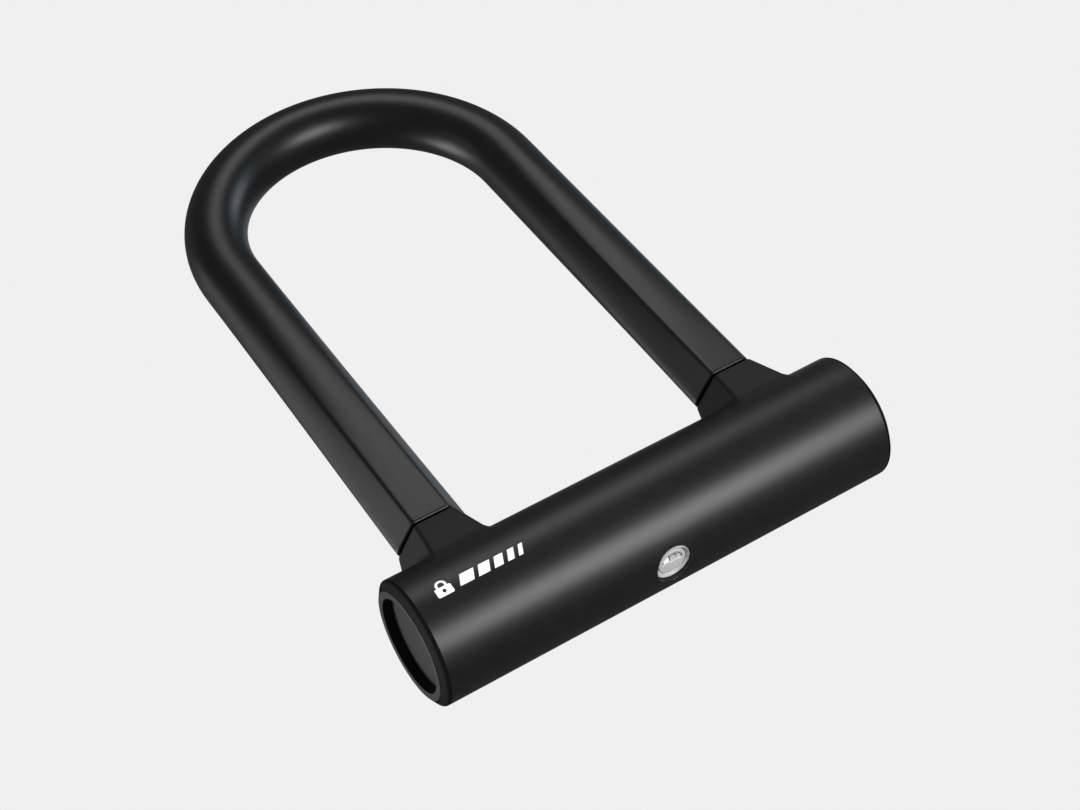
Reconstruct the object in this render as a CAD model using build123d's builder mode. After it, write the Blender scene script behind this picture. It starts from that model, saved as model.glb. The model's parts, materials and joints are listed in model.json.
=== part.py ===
from build123d import *
from math import atan, cos, degrees, pi, radians, sin, sqrt
import os

# U lock for bicycles, lying flat. Millimetres. The origin is the middle of the crossbar's axis.
# +X runs along the crossbar, +Y from the crossbar towards the shackle's bend, and +Z is up.
# The lock stands unlocked, with the shackle fully seated and the bolts drawn in.

# Clearances
press_clearance = 0.02
running_clearance = 0.05
seat_clearance = 0.1
hole_clearance = 0.2
loose_clearance = 0.3

# Crossbar
bar_radius = 20.0
bar_half = 77.6
cap_chamfer_length = 2.25
cap_face_radius = 17.2
cap_recess_radius = 14.9
cap_recess_depth = 3.0
sleeve_bore = 18.0
tube_radius = 17.9
tube_bore = 15.0
tube_half = 73.0

# Shackle
leg_x = 53.67
bend_y = 161.3
core_radius = 8.0
cover_radius = 10.66
cover_bore = 8.05
leg_flat = 10.5
cover_end_y = 30.4
round_start_y = 150.0
ridge_widening = 0.04
round_inset = 0.04
ridge_exponent = 40.0
foot_end_y = -9.5
foot_chamfer = 1.0

# Collars and sockets that guide the shackle's feet
collar_rim_y = 29.3
collar_base_y = 11.0
collar_rim_flat = 11.2
collar_slope = 0.29
collar_ridge_fillet = 1.2
collar_rim_fillet = 0.7
collar_bore = 8.6
socket_radius = 9.9
socket_bore = 8.3
socket_bottom_y = -11.1
socket_floor_y = -9.9
socket_top_y = 16.9
leg_hole_radius = 10.0
seal_groove_y = 25.0
seal_groove_width = 2.0
seal_groove_radius = 9.8

# Lock cylinder, whose axis runs along Y
key_x = -1.4
key_z = 2.5
keyhole_radius = 6.3
bezel_front_y = -18.3
bezel_back_y = -17.2
bezel_radius = 6.15
bezel_bore = 4.75
bezel_chamfer = 0.5
bezel_fillet = 0.2
shell_radius = 8.0
shell_nose_radius = 5.95
shell_step_y = -14.4
shell_back_y = -0.6
cylinder_seat_y = -0.5
cylinder_pin_y = -5.0
cylinder_pin_radius = 1.5
cylinder_pin_low_z = 9.4
cylinder_pin_high_z = 16.5
plug_front_y = -17.9
plug_nose_radius = 4.6
plug_radius = 6.1
plug_shoulder_y = -13.2
plug_wall = 1.0
plug_chamfer = 0.25
cage_bore = 5.3
window_radius = 3.5
window_lip = 0.9
passage_radius = 4.0
passage_low = -0.5
keyway_radius = 3.0
tail_thickness = 1.4
tang_side = 3.2
tang_end_y = 3.6

# Keyway shutter, whose blocks fill the keyway's mouth
shutter_radius = 3.85
shutter_low = -0.35
shutter_thickness = 1.0
shutter_clearance = 0.15
block_front_y = -17.6
block_low = 0.3
block_high = 2.1
block_spans = ((-2.75, -0.8), (-0.5, 1.35), (1.7, 2.95))
spring_across = 3.2
spring_up = 0.5
spring_coil_radius = 0.4
spring_wire_radius = 0.1
spring_pitch = 1.1
spring_end_gap = 0.02

# Disc stack
disc_count = 7
disc_radius = 5.2
disc_thickness = 1.0
spacer_thickness = 0.35
sidebar_width = 1.6
sidebar_outer = 6.05
sidebar_inner = 4.3
sidebar_groove_depth = 0.9
sidebar_groove_width = 2.4

# Cam and bolts
quarter_turn = pi / 2
bolt_travel = 4.0
pin_start_radius = 3.9
bolt_pin_radius = 1.0
slot_clearance = 0.15
cam_radius = 10.0
cam_hub_radius = 6.0
cam_front_y = 1.2
cam_back_y = 4.0
cam_slot_depth = 2.1
bolt_pin_front_y = 2.2
bolt_pin_back_y = 11.0
pocket_radius = 10.3
pocket_floor_y = 0.9
bolt_front_y = 4.2
bolt_back_y = 11.2
bolt_middle_y = (bolt_front_y + bolt_back_y) / 2
bolt_depth = bolt_back_y - bolt_front_y
bolt_half_height = 4.0
bolt_tip_x = 45.2
bolt_inner_margin = 2.4
bolt_tip_chamfer = 0.8
notch_depth_x = 49.9
notch_margin = 0.45

# Chassis that carries the cylinder and the bolts
chassis_radius = 14.85
chassis_half = 43.4
cover_plate_y = 11.6
cover_plate_radius = 11.2

# Ends of the crossbar
disc_plate_thickness = 1.2
cap_spigot_end = 70.1
screw_radius = 2.5
screw_head_radius = 4.6
screw_head_height = 2.4
screw_end = 65.5
screw_socket_radius = 2.0
screw_socket_depth = 1.5
block_inner = 64.6
block_outer = 70.0
block_pin_x = 67.3
block_pin_y = -8.0
block_pin_radius = 2.0
block_pin_half = 14.7

sides = {"left": -1, "right": 1}


def across_bar(x):
    """A plane across the crossbar: local x is +Y, local y is +Z, and it faces +X."""
    return Plane.YZ.offset(x)


def facing_key(y):
    """A plane across the lock cylinder: local x is +X, local y is +Z, and it faces -Y."""
    return Plane.XZ.offset(-y)


def on_cylinder(y):
    """The same plane with its origin on the lock cylinder's axis."""
    return Plane(origin=(key_x, y, key_z), x_dir=(1, 0, 0), z_dir=(0, -1, 0))


def on_leg(side, y):
    """The same plane with its origin on a leg's axis."""
    return Plane(origin=(side * leg_x, y, 0), x_dir=(1, 0, 0), z_dir=(0, -1, 0))


def keep(piece, name):
    piece.label = name
    export_step(piece, f"parts/{name}.step")


def mirrored(piece, side):
    """A piece drawn for the +X side, on its own side."""
    return piece if side > 0 else mirror(piece, about=Plane.YZ)


def leg_outline(flat, exponent, widening, steps=72):
    """A hexagon with soft ridges on +X and -X. An exponent of 2 makes it a circle."""
    normals = [radians(a) for a in (30, 90, 150)]
    on_flat = 1 + 2 * 0.5**exponent
    points = []
    for step in range(steps):
        angle = 2 * pi * step / steps
        total = sum(abs(cos(angle - n)) ** exponent for n in normals)
        reach = flat * (on_flat / total) ** (1 / exponent)
        points.append(((1 + widening) * reach * cos(angle), reach * sin(angle)))
    return points


def slot_point(start_angle, turn, across, along):
    """A point beside the path that a bolt pin takes in its cam slot."""
    rise = bolt_travel / quarter_turn
    reach = pin_start_radius + rise * turn
    length = sqrt(reach**2 + rise**2)
    out = reach + (across * reach + along * rise) / length
    side = (along * reach - across * rise) / length
    angle = start_angle + turn
    return (out * cos(angle) - side * sin(angle), out * sin(angle) + side * cos(angle))


def cam_slot(start_angle, steps=12):
    """The outline of a spiral slot, in which an even turn moves the pin evenly outwards."""
    half = bolt_pin_radius + slot_clearance
    turns = [quarter_turn * step / steps for step in range(steps + 1)]
    ends = (turns[-1], turns[0])
    with BuildLine() as outline:
        Spline(*[slot_point(start_angle, turn, half, 0) for turn in turns])
        Spline(*[slot_point(start_angle, turn, -half, 0) for turn in turns])
        for turn, tip in zip(ends, (half, -half)):
            ThreePointArc(
                slot_point(start_angle, turn, half, 0),
                slot_point(start_angle, turn, 0, tip),
                slot_point(start_angle, turn, -half, 0),
            )
    make_face(outline.edges())


def half_moon(radius, low, mode=Mode.ADD):
    """The keyway's outline: the part of a circle above a chord at height low."""
    half = sqrt(radius**2 - low**2)
    with BuildLine() as outline:
        ThreePointArc((-half, low), (0, radius), (half, low))
        Line((half, low), (-half, low))
    make_face(outline.edges(), mode=mode)


def stack_plate():
    """The outline shared by the tumbler discs and their spacers, with all gates in line."""
    gate_depth = 2 * (disc_radius - sidebar_inner + seat_clearance)
    Circle(disc_radius)
    half_moon(keyway_radius, 0, mode=Mode.SUBTRACT)
    with Locations((0, -disc_radius)):
        Rectangle(sidebar_width + 2 * seat_clearance, gate_depth, mode=Mode.SUBTRACT)


os.makedirs("parts", exist_ok=True)

# ---------------------------------------------------------------- shackle

with BuildPart() as shackle_core:
    with BuildLine() as core_path:
        Line((-leg_x, foot_end_y, 0), (-leg_x, bend_y, 0))
        ThreePointArc((-leg_x, bend_y, 0), (0, bend_y + leg_x, 0), (leg_x, bend_y, 0))
        Line((leg_x, bend_y, 0), (leg_x, foot_end_y, 0))
    with BuildSketch(on_leg(-1, foot_end_y)):
        Circle(core_radius)
    sweep(path=core_path.wires()[0])
    chamfer(shackle_core.edges().filter_by(GeomType.CIRCLE).group_by(Axis.Y)[0], foot_chamfer)
    with BuildSketch(Plane.XY):
        for side in sides.values():
            notch_width = notch_depth_x - (leg_x - core_radius) + 1
            notch_height = bolt_depth + 2 * notch_margin
            with Locations((side * (notch_depth_x - notch_width / 2), bolt_middle_y)):
                Rectangle(notch_width, notch_height)
    extrude(amount=core_radius, both=True, mode=Mode.SUBTRACT)
keep(shackle_core.part, "shackle_core")

with BuildPart() as shackle_cover:
    with BuildLine() as cover_path:
        Line((-leg_x, round_start_y, 0), (-leg_x, bend_y, 0))
        ThreePointArc((-leg_x, bend_y, 0), (0, bend_y + leg_x, 0), (leg_x, bend_y, 0))
        Line((leg_x, bend_y, 0), (leg_x, round_start_y, 0))
    with BuildSketch(on_leg(-1, round_start_y)):
        Circle(cover_radius)
    sweep(path=cover_path.wires()[0])
    for side in sides.values():
        for share in (0.0, 0.3, 0.6, 0.8, 1.0):
            section_y = cover_end_y + share * (round_start_y - cover_end_y)
            flat = leg_flat + share * (cover_radius - round_inset - leg_flat)
            exponent = 2 + (ridge_exponent - 2) * (1 - share) ** 2
            widening = ridge_widening * (1 - share)
            with BuildSketch(on_leg(side, section_y)):
                with BuildLine():
                    Spline(*leg_outline(flat, exponent, widening), periodic=True)
                make_face()
        loft()
    with BuildLine() as bore_path:
        Line((-leg_x, cover_end_y, 0), (-leg_x, bend_y, 0))
        ThreePointArc((-leg_x, bend_y, 0), (0, bend_y + leg_x, 0), (leg_x, bend_y, 0))
        Line((leg_x, bend_y, 0), (leg_x, cover_end_y, 0))
    with BuildSketch(on_leg(-1, cover_end_y)):
        Circle(cover_bore)
    sweep(path=bore_path.wires()[0], mode=Mode.SUBTRACT)
keep(shackle_cover.part, "shackle_cover")

# ---------------------------------------------------------------- crossbar sleeve and tube

with BuildPart() as crossbar_sleeve:
    with BuildSketch(across_bar(-bar_half)):
        Circle(bar_radius)
        Circle(sleeve_bore, mode=Mode.SUBTRACT)
    extrude(amount=2 * bar_half)
    with BuildSketch(facing_key(0)):
        with Locations((-leg_x, 0), (leg_x, 0)):
            Circle(leg_hole_radius)
    extrude(amount=-bar_radius - 1, mode=Mode.SUBTRACT)
    with BuildSketch(on_cylinder(0)):
        Circle(keyhole_radius)
    extrude(amount=bar_radius + 1, mode=Mode.SUBTRACT)
keep(crossbar_sleeve.part, "crossbar_sleeve")

with BuildPart() as crossbar_tube:
    with BuildSketch(across_bar(-tube_half)):
        Circle(tube_radius)
        Circle(tube_bore, mode=Mode.SUBTRACT)
    extrude(amount=2 * tube_half)
    with BuildSketch(facing_key(0)):
        with Locations((-leg_x, 0), (leg_x, 0)):
            Circle(leg_hole_radius)
    extrude(amount=-bar_radius, mode=Mode.SUBTRACT)
    with BuildSketch(on_cylinder(0)):
        Circle(shell_radius + seat_clearance)
    extrude(amount=bar_radius, mode=Mode.SUBTRACT)
    with BuildSketch(Plane.XY):
        with Locations((-block_pin_x, block_pin_y), (block_pin_x, block_pin_y)):
            Circle(block_pin_radius + running_clearance)
    extrude(amount=bar_radius, both=True, mode=Mode.SUBTRACT)
    with BuildSketch(Plane.XY):
        with Locations((key_x, cylinder_pin_y)):
            Circle(cylinder_pin_radius + running_clearance)
    extrude(amount=bar_radius, mode=Mode.SUBTRACT)
keep(crossbar_tube.part, "crossbar_tube")

# ---------------------------------------------------------------- collars, seals and sockets

for name, side in sides.items():
    with BuildPart() as collar:
        with BuildSketch(on_leg(side, collar_rim_y)):
            RegularPolygon(collar_rim_flat, 6, major_radius=False)
        extrude(amount=collar_rim_y - collar_base_y, taper=-degrees(atan(collar_slope)))
        ridges = collar.edges().filter_by(lambda e: 0 < abs(e.tangent_at(0.5).Y) < 1)
        fillet(ridges, collar_ridge_fillet)
        fillet(collar.edges().group_by(Axis.Y)[-1], collar_rim_fillet)
        with BuildSketch(across_bar(-2 * bar_half)):
            Circle(bar_radius)
        extrude(amount=4 * bar_half, mode=Mode.SUBTRACT)
        with BuildSketch(on_leg(side, collar_rim_y)):
            Circle(collar_bore)
        extrude(amount=collar_rim_y - collar_base_y, mode=Mode.SUBTRACT)
        with BuildSketch(on_leg(side, seal_groove_y + seal_groove_width)):
            Circle(seal_groove_radius)
        extrude(amount=seal_groove_width, mode=Mode.SUBTRACT)
    keep(collar.part, f"collar_{name}")

    with BuildPart() as foot_seal:
        with BuildSketch(on_leg(side, seal_groove_y + seal_groove_width - running_clearance)):
            Circle(seal_groove_radius - running_clearance)
            Circle(socket_bore, mode=Mode.SUBTRACT)
        extrude(amount=seal_groove_width - 2 * running_clearance)
    keep(foot_seal.part, f"foot_seal_{name}")

    with BuildPart() as leg_socket:
        with BuildSketch(on_leg(side, socket_top_y)):
            Circle(socket_radius)
        extrude(amount=socket_top_y - socket_bottom_y)
        with BuildSketch(on_leg(side, socket_top_y)):
            Circle(socket_bore)
        extrude(amount=socket_top_y - socket_floor_y, mode=Mode.SUBTRACT)
        with BuildSketch(across_bar(side * leg_x)):
            with Locations((bolt_middle_y, 0)):
                Rectangle(bolt_depth + 2 * notch_margin, 2 * (bolt_half_height + loose_clearance))
        extrude(amount=-side * (socket_radius + 1), mode=Mode.SUBTRACT)
    keep(leg_socket.part, f"leg_socket_{name}")

# ---------------------------------------------------------------- crossbar ends

cap_outer = bar_half + cap_chamfer_length
disc_seat = cap_outer - cap_recess_depth - disc_plate_thickness

for name, side in sides.items():
    with BuildPart() as end_cap:
        with BuildSketch(Plane.XY):
            with BuildLine():
                Polyline(
                    (cap_spigot_end, 0),
                    (cap_spigot_end, tube_bore - seat_clearance),
                    (tube_half + seat_clearance, tube_bore - seat_clearance),
                    (tube_half + seat_clearance, sleeve_bore - seat_clearance),
                    (bar_half, sleeve_bore - seat_clearance),
                    (bar_half, bar_radius),
                    (cap_outer, cap_face_radius),
                    (cap_outer, cap_recess_radius),
                    (disc_seat, cap_recess_radius),
                    (disc_seat, 0),
                    close=True,
                )
            make_face()
        revolve(axis=Axis.X)
        with BuildSketch(across_bar(cap_spigot_end)):
            Circle(screw_radius + hole_clearance)
        extrude(amount=disc_seat - cap_spigot_end, mode=Mode.SUBTRACT)
        with BuildSketch(across_bar(disc_seat - screw_head_height - seat_clearance)):
            Circle(screw_radius + hole_clearance)
        with BuildSketch(across_bar(disc_seat)):
            Circle(screw_head_radius + hole_clearance)
        loft(mode=Mode.SUBTRACT)
    keep(mirrored(end_cap.part, side), f"end_cap_{name}")

    with BuildPart() as end_disc:
        with BuildSketch(across_bar(disc_seat)):
            Circle(cap_recess_radius - seat_clearance)
        extrude(amount=disc_plate_thickness)
    keep(mirrored(end_disc.part, side), f"end_disc_{name}")

    with BuildPart() as end_block:
        with BuildSketch(across_bar(block_inner)):
            Circle(tube_bore - seat_clearance)
            Circle(screw_radius + running_clearance, mode=Mode.SUBTRACT)
        extrude(amount=block_outer - block_inner)
        with BuildSketch(Plane.XY):
            with Locations((block_pin_x, block_pin_y)):
                Circle(block_pin_radius + running_clearance)
        extrude(amount=bar_radius, both=True, mode=Mode.SUBTRACT)
    keep(mirrored(end_block.part, side), f"end_block_{name}")

screw_top = disc_seat - hole_clearance
screw_neck = screw_top - screw_head_height

with BuildPart() as cap_screws:
    for side in sides.values():
        with BuildSketch(across_bar(side * screw_end)):
            Circle(screw_radius)
        extrude(amount=side * (screw_neck - screw_end))
        with BuildSketch(across_bar(side * screw_neck)):
            Circle(screw_radius)
        with BuildSketch(across_bar(side * screw_top)):
            Circle(screw_head_radius)
        loft()
        with BuildSketch(across_bar(side * screw_top)):
            RegularPolygon(screw_socket_radius, 6)
        extrude(amount=-side * screw_socket_depth, mode=Mode.SUBTRACT)
keep(cap_screws.part, "cap_screws")

with BuildPart() as end_block_pins:
    with BuildSketch(Plane.XY):
        with Locations((-block_pin_x, block_pin_y), (block_pin_x, block_pin_y)):
            Circle(block_pin_radius)
    extrude(amount=block_pin_half, both=True)
keep(end_block_pins.part, "end_block_pins")

# ---------------------------------------------------------------- chassis

with BuildPart() as chassis:
    with BuildSketch(across_bar(-chassis_half)):
        Circle(chassis_radius)
    extrude(amount=2 * chassis_half)
    with BuildSketch(on_cylinder(cylinder_seat_y)):
        Circle(shell_radius + running_clearance)
    extrude(amount=bar_radius, mode=Mode.SUBTRACT)
    with BuildSketch(on_cylinder(pocket_floor_y)):
        Circle(cam_hub_radius + running_clearance)
    extrude(amount=pocket_floor_y - cylinder_seat_y, mode=Mode.SUBTRACT)
    with BuildSketch(on_cylinder(pocket_floor_y)):
        Circle(pocket_radius)
    extrude(amount=-bar_radius, mode=Mode.SUBTRACT)
    with BuildSketch(on_cylinder(cover_plate_y)):
        Circle(cover_plate_radius + seat_clearance)
    extrude(amount=-bar_radius, mode=Mode.SUBTRACT)
    with BuildSketch(across_bar(-chassis_half)):
        with Locations((bolt_middle_y, 0)):
            Rectangle(bolt_depth + 2 * loose_clearance, 2 * (bolt_half_height + loose_clearance))
    extrude(amount=2 * chassis_half, mode=Mode.SUBTRACT)
    with BuildSketch(Plane.XY.offset(key_z)):
        with Locations((key_x, cylinder_pin_y)):
            Circle(cylinder_pin_radius + running_clearance)
    extrude(amount=bar_radius, mode=Mode.SUBTRACT)
keep(chassis.part, "chassis")

with BuildPart() as chassis_cover:
    with BuildSketch(on_cylinder(cover_plate_y + running_clearance)):
        Circle(cover_plate_radius)
    extrude(amount=-bar_radius)
    with BuildSketch(across_bar(-chassis_half)):
        Circle(chassis_radius)
    extrude(amount=2 * chassis_half, mode=Mode.INTERSECT)
keep(chassis_cover.part, "chassis_cover")

# ---------------------------------------------------------------- lock cylinder, fixed pieces

with BuildPart() as cylinder_shell:
    with BuildSketch(on_cylinder(shell_back_y)):
        Circle(shell_radius)
    extrude(amount=shell_back_y - shell_step_y)
    with BuildSketch(on_cylinder(shell_step_y)):
        Circle(shell_nose_radius)
    extrude(amount=shell_step_y - bezel_back_y)
    with BuildSketch(on_cylinder(shell_back_y)):
        Circle(plug_nose_radius + running_clearance)
    extrude(amount=shell_back_y - bezel_back_y, mode=Mode.SUBTRACT)
    with BuildSketch(on_cylinder(shell_back_y)):
        Circle(plug_radius + running_clearance)
    extrude(amount=shell_back_y - plug_shoulder_y + loose_clearance, mode=Mode.SUBTRACT)
    with BuildSketch(on_cylinder(shell_back_y)):
        with Locations((0, -plug_radius)):
            Rectangle(sidebar_groove_width, 2 * sidebar_groove_depth)
    extrude(amount=shell_back_y - plug_shoulder_y + loose_clearance, mode=Mode.SUBTRACT)
    with BuildSketch(Plane.XY.offset(cylinder_pin_low_z - seat_clearance)):
        with Locations((key_x, cylinder_pin_y)):
            Circle(cylinder_pin_radius + running_clearance)
    extrude(amount=shell_radius, mode=Mode.SUBTRACT)
keep(cylinder_shell.part, "cylinder_shell")

with BuildPart() as bezel_ring:
    with BuildSketch(on_cylinder(bezel_back_y)):
        Circle(bezel_radius)
        Circle(bezel_bore, mode=Mode.SUBTRACT)
    extrude(amount=bezel_back_y - bezel_front_y)
    chamfer(bezel_ring.edges().group_by(Axis.Y)[0].sort_by(SortBy.RADIUS)[0], bezel_chamfer)
    fillet(bezel_ring.edges().group_by(Axis.Y)[0].sort_by(SortBy.RADIUS)[-1], bezel_fillet)
keep(bezel_ring.part, "bezel_ring")

with BuildPart() as cylinder_pin:
    with BuildSketch(Plane.XY.offset(cylinder_pin_low_z)):
        with Locations((key_x, cylinder_pin_y)):
            Circle(cylinder_pin_radius)
    extrude(amount=cylinder_pin_high_z - cylinder_pin_low_z)
keep(cylinder_pin.part, "cylinder_pin")

# ---------------------------------------------------------------- lock cylinder, turning pieces

cage_back_y = shell_back_y - hole_clearance
stack_front_y = plug_shoulder_y + plug_wall
tail_front_y = cage_back_y - tail_thickness
sidebar_slot_height = 2 * (plug_radius - cage_bore + hole_clearance)

with BuildPart() as cylinder_plug:
    with BuildSketch(on_cylinder(plug_shoulder_y)):
        Circle(plug_nose_radius)
    extrude(amount=plug_shoulder_y - plug_front_y)
    with BuildSketch(on_cylinder(cage_back_y)):
        Circle(plug_radius)
    extrude(amount=cage_back_y - plug_shoulder_y)
    with BuildSketch(on_cylinder(cage_back_y)):
        Circle(cage_bore)
    extrude(amount=cage_back_y - stack_front_y, mode=Mode.SUBTRACT)
    with BuildSketch(on_cylinder(stack_front_y)):
        half_moon(keyway_radius, 0)
    extrude(amount=plug_wall, mode=Mode.SUBTRACT)
    with BuildSketch(on_cylinder(plug_shoulder_y)):
        half_moon(passage_radius, passage_low)
    extrude(amount=plug_shoulder_y - plug_front_y - window_lip, mode=Mode.SUBTRACT)
    with BuildSketch(on_cylinder(plug_shoulder_y)):
        half_moon(window_radius, 0)
    extrude(amount=plug_shoulder_y - plug_front_y, mode=Mode.SUBTRACT)
    with BuildSketch(on_cylinder(tail_front_y)):
        with Locations((0, -plug_radius)):
            Rectangle(sidebar_width + 2 * running_clearance, sidebar_slot_height)
    extrude(amount=tail_front_y - stack_front_y, mode=Mode.SUBTRACT)
    front_circles = cylinder_plug.edges().group_by(Axis.Y)[0].filter_by(GeomType.CIRCLE)
    chamfer(front_circles.sort_by(SortBy.RADIUS)[-1], plug_chamfer)
keep(cylinder_plug.part, "cylinder_plug")

with BuildPart() as plug_tail:
    with BuildSketch(on_cylinder(cage_back_y)):
        Circle(cage_bore - running_clearance)
    extrude(amount=tail_thickness)
    with BuildSketch(on_cylinder(cage_back_y)):
        Rectangle(tang_side, tang_side)
    extrude(amount=-(tang_end_y - cage_back_y))
keep(plug_tail.part, "plug_tail")

stack_metal = disc_count * disc_thickness + (disc_count + 1) * spacer_thickness
stack_gap = (tail_front_y - stack_front_y - stack_metal) / (2 * disc_count + 2)
stack_pitch = disc_thickness + spacer_thickness + 2 * stack_gap

with BuildPart() as disc_spacers:
    for index in range(disc_count + 1):
        front_y = stack_front_y + stack_gap + index * stack_pitch
        with BuildSketch(on_cylinder(front_y + spacer_thickness)):
            stack_plate()
        extrude(amount=spacer_thickness)
keep(disc_spacers.part, "disc_spacers")

with BuildPart() as tumbler_discs:
    for index in range(disc_count):
        front_y = stack_front_y + 2 * stack_gap + spacer_thickness + index * stack_pitch
        with BuildSketch(on_cylinder(front_y + disc_thickness)):
            stack_plate()
        extrude(amount=disc_thickness)
keep(tumbler_discs.part, "tumbler_discs")

with BuildPart() as sidebar:
    with BuildSketch(on_cylinder(tail_front_y - seat_clearance)):
        with Locations((0, -(sidebar_outer + sidebar_inner) / 2)):
            Rectangle(sidebar_width, sidebar_outer - sidebar_inner)
    extrude(amount=tail_front_y - stack_front_y - 2 * seat_clearance)
keep(sidebar.part, "sidebar")

with BuildPart() as cam_disc:
    with BuildSketch(on_cylinder(cam_back_y)):
        Circle(cam_radius)
    extrude(amount=cam_back_y - cam_front_y)
    with BuildSketch(on_cylinder(cam_front_y)):
        Circle(cam_hub_radius)
    extrude(amount=cam_front_y - cylinder_seat_y - seat_clearance)
    with BuildSketch(on_cylinder(cam_back_y)):
        Rectangle(tang_side + seat_clearance, tang_side + seat_clearance)
    extrude(amount=cam_back_y - cylinder_seat_y, mode=Mode.SUBTRACT)
    with BuildSketch(on_cylinder(cam_back_y)):
        for start_angle in (0, pi):
            cam_slot(start_angle)
    extrude(amount=cam_slot_depth, mode=Mode.SUBTRACT)
keep(cam_disc.part, "cam_disc")

shutter_front_y = plug_front_y + window_lip + seat_clearance

with BuildPart() as keyway_shutter:
    with BuildSketch(on_cylinder(shutter_front_y + shutter_thickness)):
        half_moon(shutter_radius, shutter_low)
    extrude(amount=shutter_thickness)
    with BuildSketch(on_cylinder(shutter_front_y)):
        for low_x, high_x in block_spans:
            with Locations(((low_x + high_x) / 2, (block_low + block_high) / 2)):
                Rectangle(high_x - low_x, block_high - block_low)
        half_moon(window_radius - shutter_clearance, shutter_clearance, mode=Mode.INTERSECT)
    extrude(amount=shutter_front_y - block_front_y)
keep(keyway_shutter.part, "keyway_shutter")

spring_front_y = shutter_front_y + shutter_thickness + spring_end_gap + spring_wire_radius
spring_back_y = plug_shoulder_y - spring_end_gap - spring_wire_radius

with BuildPart() as shutter_springs:
    for across in (-spring_across, spring_across):
        with BuildLine() as coil:
            Helix(
                pitch=spring_pitch,
                height=spring_back_y - spring_front_y,
                radius=spring_coil_radius,
                center=(key_x + across, spring_front_y, key_z + spring_up),
                direction=(0, 1, 0),
            )
        with BuildSketch(Plane(origin=coil.line @ 0, z_dir=coil.line % 0)):
            Circle(spring_wire_radius)
        sweep(path=coil.line, is_frenet=True)
keep(shutter_springs.part, "shutter_springs")

# ---------------------------------------------------------------- bolts

for name, side in sides.items():
    pin_x = key_x + side * pin_start_radius
    inner_x = pin_x - side * bolt_inner_margin
    tip_x = side * bolt_tip_x
    with BuildPart() as bolt:
        with BuildSketch(facing_key(bolt_back_y)):
            with Locations(((inner_x + tip_x) / 2, 0)):
                Rectangle(abs(tip_x - inner_x), 2 * bolt_half_height)
        extrude(amount=bolt_depth)
        tip_face = bolt.faces().filter_by(Axis.X).sort_by(Axis.X)[-1 if side > 0 else 0]
        chamfer(tip_face.edges(), bolt_tip_chamfer)
        with BuildSketch(facing_key(bolt_back_y)):
            with Locations((pin_x, key_z)):
                Circle(bolt_pin_radius + press_clearance)
        extrude(amount=bolt_depth, mode=Mode.SUBTRACT)
    keep(bolt.part, f"bolt_{name}")

    with BuildPart() as bolt_pin:
        with BuildSketch(facing_key(bolt_pin_back_y)):
            with Locations((pin_x, key_z)):
                Circle(bolt_pin_radius)
        extrude(amount=bolt_pin_back_y - bolt_pin_front_y)
    keep(bolt_pin.part, f"bolt_pin_{name}")
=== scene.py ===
import json
from math import asin, atan2, cos, degrees, hypot, pi, radians, sin, sqrt, tan

import bpy
from mathutils import Matrix, Vector


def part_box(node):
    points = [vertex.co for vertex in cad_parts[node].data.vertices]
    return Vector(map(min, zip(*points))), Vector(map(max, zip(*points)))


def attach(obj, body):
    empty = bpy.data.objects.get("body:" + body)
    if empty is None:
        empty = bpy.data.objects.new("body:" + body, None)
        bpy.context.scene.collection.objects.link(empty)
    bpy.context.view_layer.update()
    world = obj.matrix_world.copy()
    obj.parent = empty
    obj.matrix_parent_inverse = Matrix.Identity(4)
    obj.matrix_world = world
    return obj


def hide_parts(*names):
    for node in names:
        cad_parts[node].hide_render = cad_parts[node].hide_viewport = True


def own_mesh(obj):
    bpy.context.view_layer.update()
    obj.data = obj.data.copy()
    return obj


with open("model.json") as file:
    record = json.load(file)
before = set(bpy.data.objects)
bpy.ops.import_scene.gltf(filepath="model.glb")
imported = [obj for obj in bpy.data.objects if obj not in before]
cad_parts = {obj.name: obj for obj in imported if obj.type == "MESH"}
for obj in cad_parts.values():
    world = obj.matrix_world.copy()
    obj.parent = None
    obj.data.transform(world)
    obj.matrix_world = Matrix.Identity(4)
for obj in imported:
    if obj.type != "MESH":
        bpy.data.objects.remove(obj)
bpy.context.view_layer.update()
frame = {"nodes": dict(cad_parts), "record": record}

MM = 0.001

# ------------------------------------------------------------------ sizes taken from the frame

sleeve_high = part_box("crossbar_sleeve")[1]
cover_low, cover_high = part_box("shackle_cover")
core_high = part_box("shackle_core")[1]
collar_low, collar_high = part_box("collar_right")
cap_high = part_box("end_cap_right")[1]
disc_low, disc_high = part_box("end_disc_right")
bezel_low, bezel_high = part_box("bezel_ring")
spring_low, spring_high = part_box("shutter_springs")
plug_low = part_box("cylinder_plug")[0]
shutter_low, shutter_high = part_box("keyway_shutter")

BAR_RADIUS = sleeve_high.z
BAR_HALF = sleeve_high.x
SLEEVE_BORE = BAR_RADIUS - 2 * MM
CAP_OUTER = cap_high.x
COVER_RADIUS = cover_high.z
COVER_BORE = core_high.z + 0.05 * MM
LEG_X = (collar_low.x + collar_high.x) / 2
BEND_Y = cover_high.y - COVER_RADIUS - LEG_X
COVER_END_Y = cover_low.y
COLLAR_RIM_Y = collar_high.y
KEY_X = (bezel_low.x + bezel_high.x) / 2
KEY_Z = (bezel_low.z + bezel_high.z) / 2

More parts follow.
